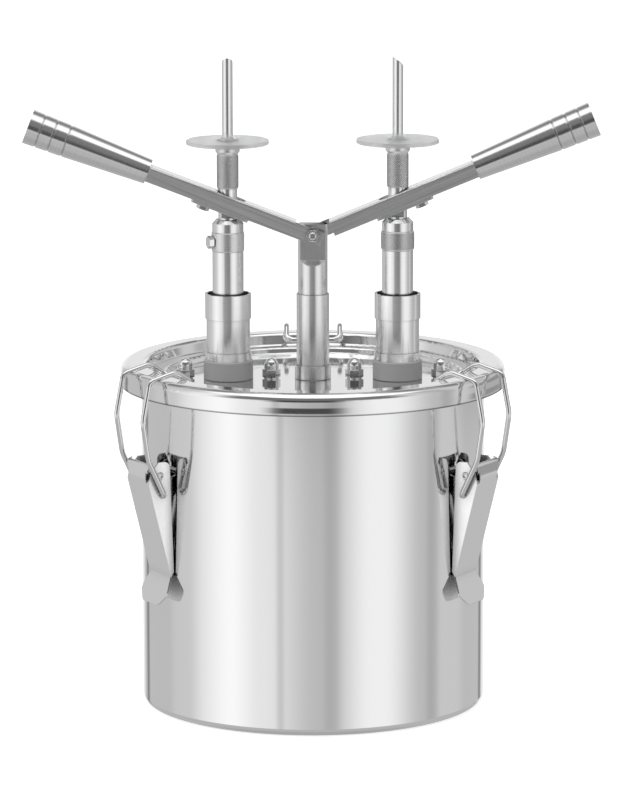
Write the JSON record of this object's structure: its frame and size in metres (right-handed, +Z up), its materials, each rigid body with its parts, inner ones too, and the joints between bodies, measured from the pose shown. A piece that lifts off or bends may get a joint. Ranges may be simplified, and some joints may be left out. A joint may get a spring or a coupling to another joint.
{
  "type": "donut filler machine",
  "caption": "Countertop pastry filler: a latched steel drum whose lid carries two lever pumps with upright hollow needles and round stop discs.",
  "frame": {"origin": "centre of the drum's flat underside, where the machine stands on the table", "axes": "+Z up; +X towards the right-hand pump and lever as seen from the front; -Y towards the front, the side on which the pivot bolt's nut shows"},
  "size_m": [0.402, 0.2811, 0.4545],
  "materials": {
    "mirror_steel": "polished bright",
    "turned_steel": "turned, fine satin",
    "brushed_sheet": "brushed along its length",
    "polished_aluminium": "polished",
    "grey_plastic": "turned grey plastic",
    "white_plastic": "turned white plastic",
    "disc_plastic": "translucent white plastic",
    "rubber": "food-grade silicone"
  },
  "bodies": {
    "container": {"drum": "mirror_steel", "lid_gasket": "rubber", "lid": "mirror_steel", "post_sleeve": "turned_steel", "post_rod": "turned_steel", "post_nut": "turned_steel", "pivot_bolt": "turned_steel", "pivot_nut": "turned_steel", "lid_bush_left": "grey_plastic", "lid_bush_right": "grey_plastic", "guide_sleeve_left": "mirror_steel", "guide_sleeve_right": "mirror_steel", "stud_flanges": "turned_steel", "dome_nuts": "mirror_steel", "stem_guides": "white_plastic", "cylinder_left": "turned_steel", "cylinder_right": "turned_steel", "inlet_valves": "turned_steel", "latch_brackets": "turned_steel", "latch_pins": "turned_steel"},
    "lever_left": {"lever_left": "brushed_sheet", "handle_left": "polished_aluminium", "key_plate_left": "brushed_sheet", "plate_screw_left": "turned_steel"},
    "pump_left": {"stop_collar_left": "turned_steel", "stop_screw_left": "turned_steel", "cover_tube_left": "mirror_steel", "cap_left": "mirror_steel", "stem_left": "mirror_steel", "adapter_left": "turned_steel", "disc_left": "disc_plastic", "needle_left": "turned_steel", "piston_left": "white_plastic", "piston_seal_left": "rubber", "spring_left": "turned_steel"},
    "lever_right": {"lever_right": "brushed_sheet", "handle_right": "polished_aluminium", "key_plate_right": "brushed_sheet", "plate_screw_right": "turned_steel"},
    "pump_right": {"stop_collar_right": "turned_steel", "stop_screw_right": "turned_steel", "cover_tube_right": "mirror_steel", "cap_right": "mirror_steel", "stem_right": "mirror_steel", "adapter_right": "turned_steel", "disc_right": "disc_plastic", "needle_right": "turned_steel", "piston_right": "white_plastic", "piston_seal_right": "rubber", "spring_right": "turned_steel"},
    "inlet_ball_left": {"inlet_ball_left": "mirror_steel"},
    "outlet_ball_left": {"outlet_ball_left": "mirror_steel"},
    "inlet_ball_right": {"inlet_ball_right": "mirror_steel"},
    "outlet_ball_right": {"outlet_ball_right": "mirror_steel"},
    "latch_left": {"latch_lever_left": "mirror_steel"},
    "bail_left": {"latch_bail_left": "mirror_steel"},
    "latch_right": {"latch_lever_right": "mirror_steel"},
    "bail_right": {"latch_bail_right": "mirror_steel"},
    "latch_back": {"latch_lever_back": "mirror_steel"},
    "bail_back": {"latch_bail_back": "mirror_steel"}
  },
  "joints": [
    {"name": "lever_left_pivot", "type": "hinge", "parent": "container", "child": "lever_left", "pos_m": [0, 0, 0.33072], "axis": [0, -1, 0], "range_deg": [0, 30]},
    {"name": "lever_right_pivot", "type": "hinge", "parent": "container", "child": "lever_right", "pos_m": [0, 0, 0.33072], "axis": [0, 1, 0], "range_deg": [0, 30]},
    {"name": "pump_left_stroke", "type": "slide", "parent": "container", "child": "pump_left", "axis": [0, 0, -1], "range_m": [0, 0.0319], "stiffness_N_per_m": 400, "springref_m": -0.045, "deforming": ["spring_left"]},
    {"name": "pump_right_stroke", "type": "slide", "parent": "container", "child": "pump_right", "axis": [0, 0, -1], "range_m": [0, 0.0319], "stiffness_N_per_m": 400, "springref_m": -0.045, "deforming": ["spring_right"]},
    {"name": "inlet_ball_left_lift", "type": "slide", "parent": "container", "child": "inlet_ball_left", "axis": [0, 0, 1], "range_m": [0, 0.003]},
    {"name": "outlet_ball_left_lift", "type": "slide", "parent": "pump_left", "child": "outlet_ball_left", "axis": [0, 0, 1], "range_m": [0, 0.0025]},
    {"name": "inlet_ball_right_lift", "type": "slide", "parent": "container", "child": "inlet_ball_right", "axis": [0, 0, 1], "range_m": [0, 0.003]},
    {"name": "outlet_ball_right_lift", "type": "slide", "parent": "pump_right", "child": "outlet_ball_right", "axis": [0, 0, 1], "range_m": [0, 0.0025]},
    {"name": "latch_left_pivot", "type": "hinge", "parent": "container", "child": "latch_left", "pos_m": [-0.11258, -0.065, 0.174], "axis": [-0.5, 0.866, 0], "range_deg": [0, 96]},
    {"name": "bail_left_pivot", "type": "hinge", "parent": "latch_left", "child": "bail_left", "pos_m": [-0.11128, -0.06425, 0.1602], "axis": [-0.5, 0.866, 0], "range_deg": [-82, 0]},
    {"name": "latch_right_pivot", "type": "hinge", "parent": "container", "child": "latch_right", "pos_m": [0.11258, -0.065, 0.174], "axis": [-0.5, -0.866, 0], "range_deg": [0, 96]},
    {"name": "bail_right_pivot", "type": "hinge", "parent": "latch_right", "child": "bail_right", "pos_m": [0.11128, -0.06425, 0.1602], "axis": [-0.5, -0.866, 0], "range_deg": [-82, 0]},
    {"name": "latch_back_pivot", "type": "hinge", "parent": "container", "child": "latch_back", "pos_m": [0, 0.13, 0.174], "axis": [1, 0, 0], "range_deg": [0, 96]},
    {"name": "bail_back_pivot", "type": "hinge", "parent": "latch_back", "child": "bail_back", "pos_m": [0, 0.1285, 0.1602], "axis": [1, 0, 0], "range_deg": [-82, 0]}
  ],
  "couplings": [
    {"joint": "pump_left_stroke", "follows": "lever_left_pivot", "m_per_rad": 0.060387},
    {"joint": "pump_right_stroke", "follows": "lever_right_pivot", "m_per_rad": 0.060569},
    {"joint": "bail_left_pivot", "follows": "latch_left_pivot", "ratio": -0.85},
    {"joint": "bail_right_pivot", "follows": "latch_right_pivot", "ratio": -0.85},
    {"joint": "bail_back_pivot", "follows": "latch_back_pivot", "ratio": -0.85}
  ]
}
